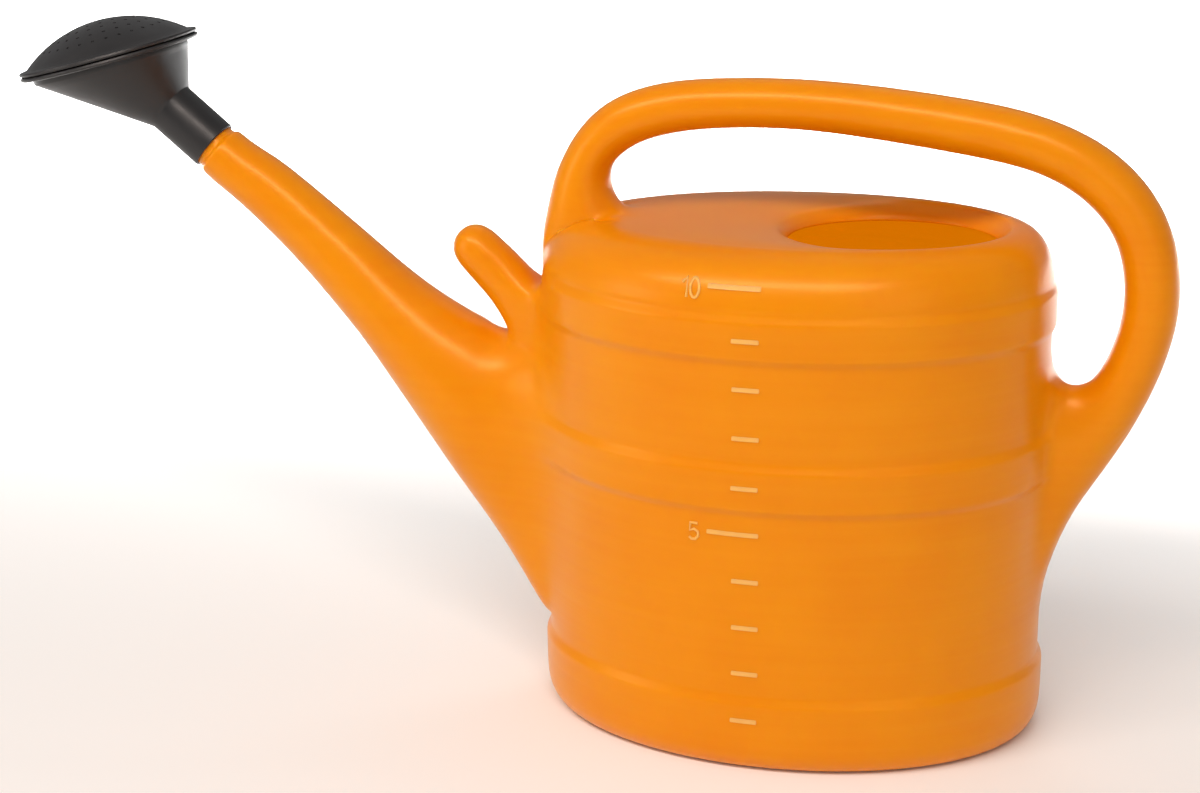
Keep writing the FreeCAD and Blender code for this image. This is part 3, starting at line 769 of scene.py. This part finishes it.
# how far along its axis each ring is, and its radius: the socket's and the flange's from the
# outside in, then back through the neck's bore
SOCKET_PROFILE = [(4.0, 13.1), (3.6, 13.4), (3.6, 13.9), (4.1, 14.35), (10, 14.4), (20, 14.4),
                  (30, 14.4), (34.6, 14.4), (35.6, 14.6)]
FLANGE_PROFILE = [(-8.2, 43.2), (-7.4, 43.6), (-5.6, 43.6), (-5.1, 44.1), (-5.0, 48.9),
                  (-4.6, 49.7), (-3.8, 50.0), (-3.0, 49.7), (-2.65, 48.9), (-2.6, 42.4),
                  (-3.0, 41.8), (-7.8, 41.7)]
INNER_SOCKET = [(36.2, 12.98), (30, 12.95), (10, 12.95)]
rings = [slanted_ring(SPOUT_TIP, SPOUT_RISE, *row) for row in SOCKET_PROFILE]
crease, mouth = rings[-1], slanted_ring(RIM_CENTRE, PLATE_RISE, *FLANGE_PROFILE[0])
CONE_SHARES = (0.04, 0.3, 0.6, 0.9)
for share in CONE_SHARES:
    rings.append([a.lerp(b, share) for a, b in zip(crease, mouth)])
rings += [slanted_ring(RIM_CENTRE, PLATE_RISE, *row) for row in FLANGE_PROFILE]
rings += [slanted_ring(SPOUT_TIP, SPOUT_RISE, *row) for row in INNER_SOCKET]


CREASE_ANGLE = 30
rose_head = skin_rings("rose_head", rings, fill="NOTHING")
select_edges(lambda edge: edge.is_boundary)
bpy.ops.mesh.bridge_edge_loops()
bpy.ops.mesh.select_all(action="SELECT")
bpy.ops.mesh.normals_make_consistent(inside=False)
bpy.ops.object.mode_set(mode="OBJECT")
bpy.ops.object.shade_smooth_by_angle(angle=math.radians(CREASE_ANGLE))

# Injection-moulded black polypropylene: a fine spark-eroded grain, and a soft grey sheen that is
# slightly smoother and lighter in patches, from handling. Sizes are in millimetres.
SPARK_GRAIN = 0.5
HANDLING_SIZE = 18.0
rose_skin = bpy.data.materials.new("grained_polypropylene_black")
rose_skin.use_nodes = True
tree = rose_skin.node_tree
shader = tree.nodes["Principled BSDF"]
shader.inputs["IOR"].default_value = 1.49
place = add_node(tree, "ShaderNodeTexCoord", {}).outputs["Object"]
spark = add_node(tree, "ShaderNodeTexNoise", {"Vector": place, "Scale": 1 / (SPARK_GRAIN * MM)})
handling = add_node(tree, "ShaderNodeTexNoise", {
    "Vector": place, "Scale": 1 / (HANDLING_SIZE * MM),
})
shade = add_node(tree, "ShaderNodeMix", {
    FACTOR: handling.outputs["Fac"], COLOUR_A: linear("#1a191a"), COLOUR_B: linear("#242324"),
}, data_type="RGBA")
tree.links.new(shade.outputs[MIXED], shader.inputs["Base Color"])
polish = add_node(tree, "ShaderNodeMapRange", {
    "Value": handling.outputs["Fac"], "From Min": 0.3, "From Max": 0.7,
    "To Min": 0.34, "To Max": 0.46,
})
tree.links.new(polish.outputs["Result"], shader.inputs["Roughness"])
grain_relief = add_node(tree, "ShaderNodeBump", {
    "Height": spark.outputs["Fac"], "Strength": 0.15, "Distance": 0.1 * MM,
})
tree.links.new(grain_relief.outputs["Normal"], shader.inputs["Normal"])
rose_head.data.materials.append(rose_skin)
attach(rose_head, "rose")
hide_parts("rose_socket", "rose_funnel")


# Spray plate: a domed disc of the same black polypropylene, with rings of drilled spray holes. Its
# flange lies on the funnel's, and its skirt snaps into the funnel's mouth.
DOME_FOOT, DOME_RISE = 46.3, 17.0
DOME_RADIUS = (DOME_FOOT ** 2 + DOME_RISE ** 2) / (2 * DOME_RISE)
PLATE_WALL = 1.8
OUTER_RADII = (0.4, 4, 8, 12, 16, 20, 24, 28, 32, 36, 40, 43.5, 45.6)
INNER_RADII = (38, 34, 30, 26, 22, 18, 14, 10, 6, 2, 0.4)
RIM_PROFILE = [(0.35, 46.6), (0.1, 47.4), (0.1, 48.9), (-0.2, 49.7), (-1.1, 50.0), (-1.9, 49.7),
               (-2.25, 48.9), (-2.3, 41.6), (-2.8, 41.3), (-4.8, 41.2), (-5.0, 41.0),
               (-5.0, 39.8), (-4.6, 39.5), (-2.0, 39.4)]


def dome_height(radius, inset=0.0):
    """How high the dome is above the rim's middle, so far out from its axis."""
    return math.sqrt((DOME_RADIUS - inset) ** 2 - radius ** 2) - DOME_RADIUS + DOME_RISE


plate_profile = [(dome_height(radius), radius) for radius in OUTER_RADII]
plate_profile += RIM_PROFILE
plate_profile += [(dome_height(radius, PLATE_WALL), radius) for radius in INNER_RADII]
rings = [slanted_ring(RIM_CENTRE, PLATE_RISE, *row) for row in plate_profile]
spray_plate = skin_rings("spray_plate", rings, fill="NOTHING")
select_edges(lambda edge: edge.is_boundary)
bpy.ops.mesh.edge_face_add()
bpy.ops.mesh.select_all(action="SELECT")
bpy.ops.mesh.normals_make_consistent(inside=False)
bpy.ops.object.mode_set(mode="OBJECT")

HOLE_RADIUS, RING_PITCH, HOLE_RINGS = 0.9, 7.0, 5
HOLES_A_RING = 6              # in the first ring, twice that in the second, and so on
DRILL_LENGTH, DRILL_SIDES = 8, 12
ahead, side = slanted(PLATE_RISE)
drill_turn = ahead.to_track_quat("Z", "Y").to_euler()
places = [(0.0, 0.0)]
for ring in range(1, HOLE_RINGS + 1):
    holes = HOLES_A_RING * ring
    places += [(ring * RING_PITCH, 2 * math.pi * k / holes) for k in range(holes)]
drills = []
for radius, turn in places:
    across = side * radius * math.cos(turn) + Vector((0, radius * math.sin(turn), 0))
    middle = RIM_CENTRE + ahead * dome_height(radius) + across
    deselect_all()
    bpy.ops.mesh.primitive_cylinder_add(
        vertices=DRILL_SIDES, radius=HOLE_RADIUS * MM, depth=DRILL_LENGTH * MM,
        location=middle * MM, rotation=drill_turn,
    )
    drills.append(bpy.context.object)
drill = join_pieces(drills)
finish_modifier(spray_plate, "BOOLEAN", operation="DIFFERENCE", object=drill, solver="EXACT")
bpy.data.objects.remove(drill)
deselect_all()
spray_plate.select_set(True)
bpy.context.view_layer.objects.active = spray_plate
bpy.ops.object.shade_smooth_by_angle(angle=math.radians(CREASE_ANGLE))
spray_plate.data.materials.clear()
spray_plate.data.materials.append(rose_skin)
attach(spray_plate, "rose_plate")
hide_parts("rose_plate")
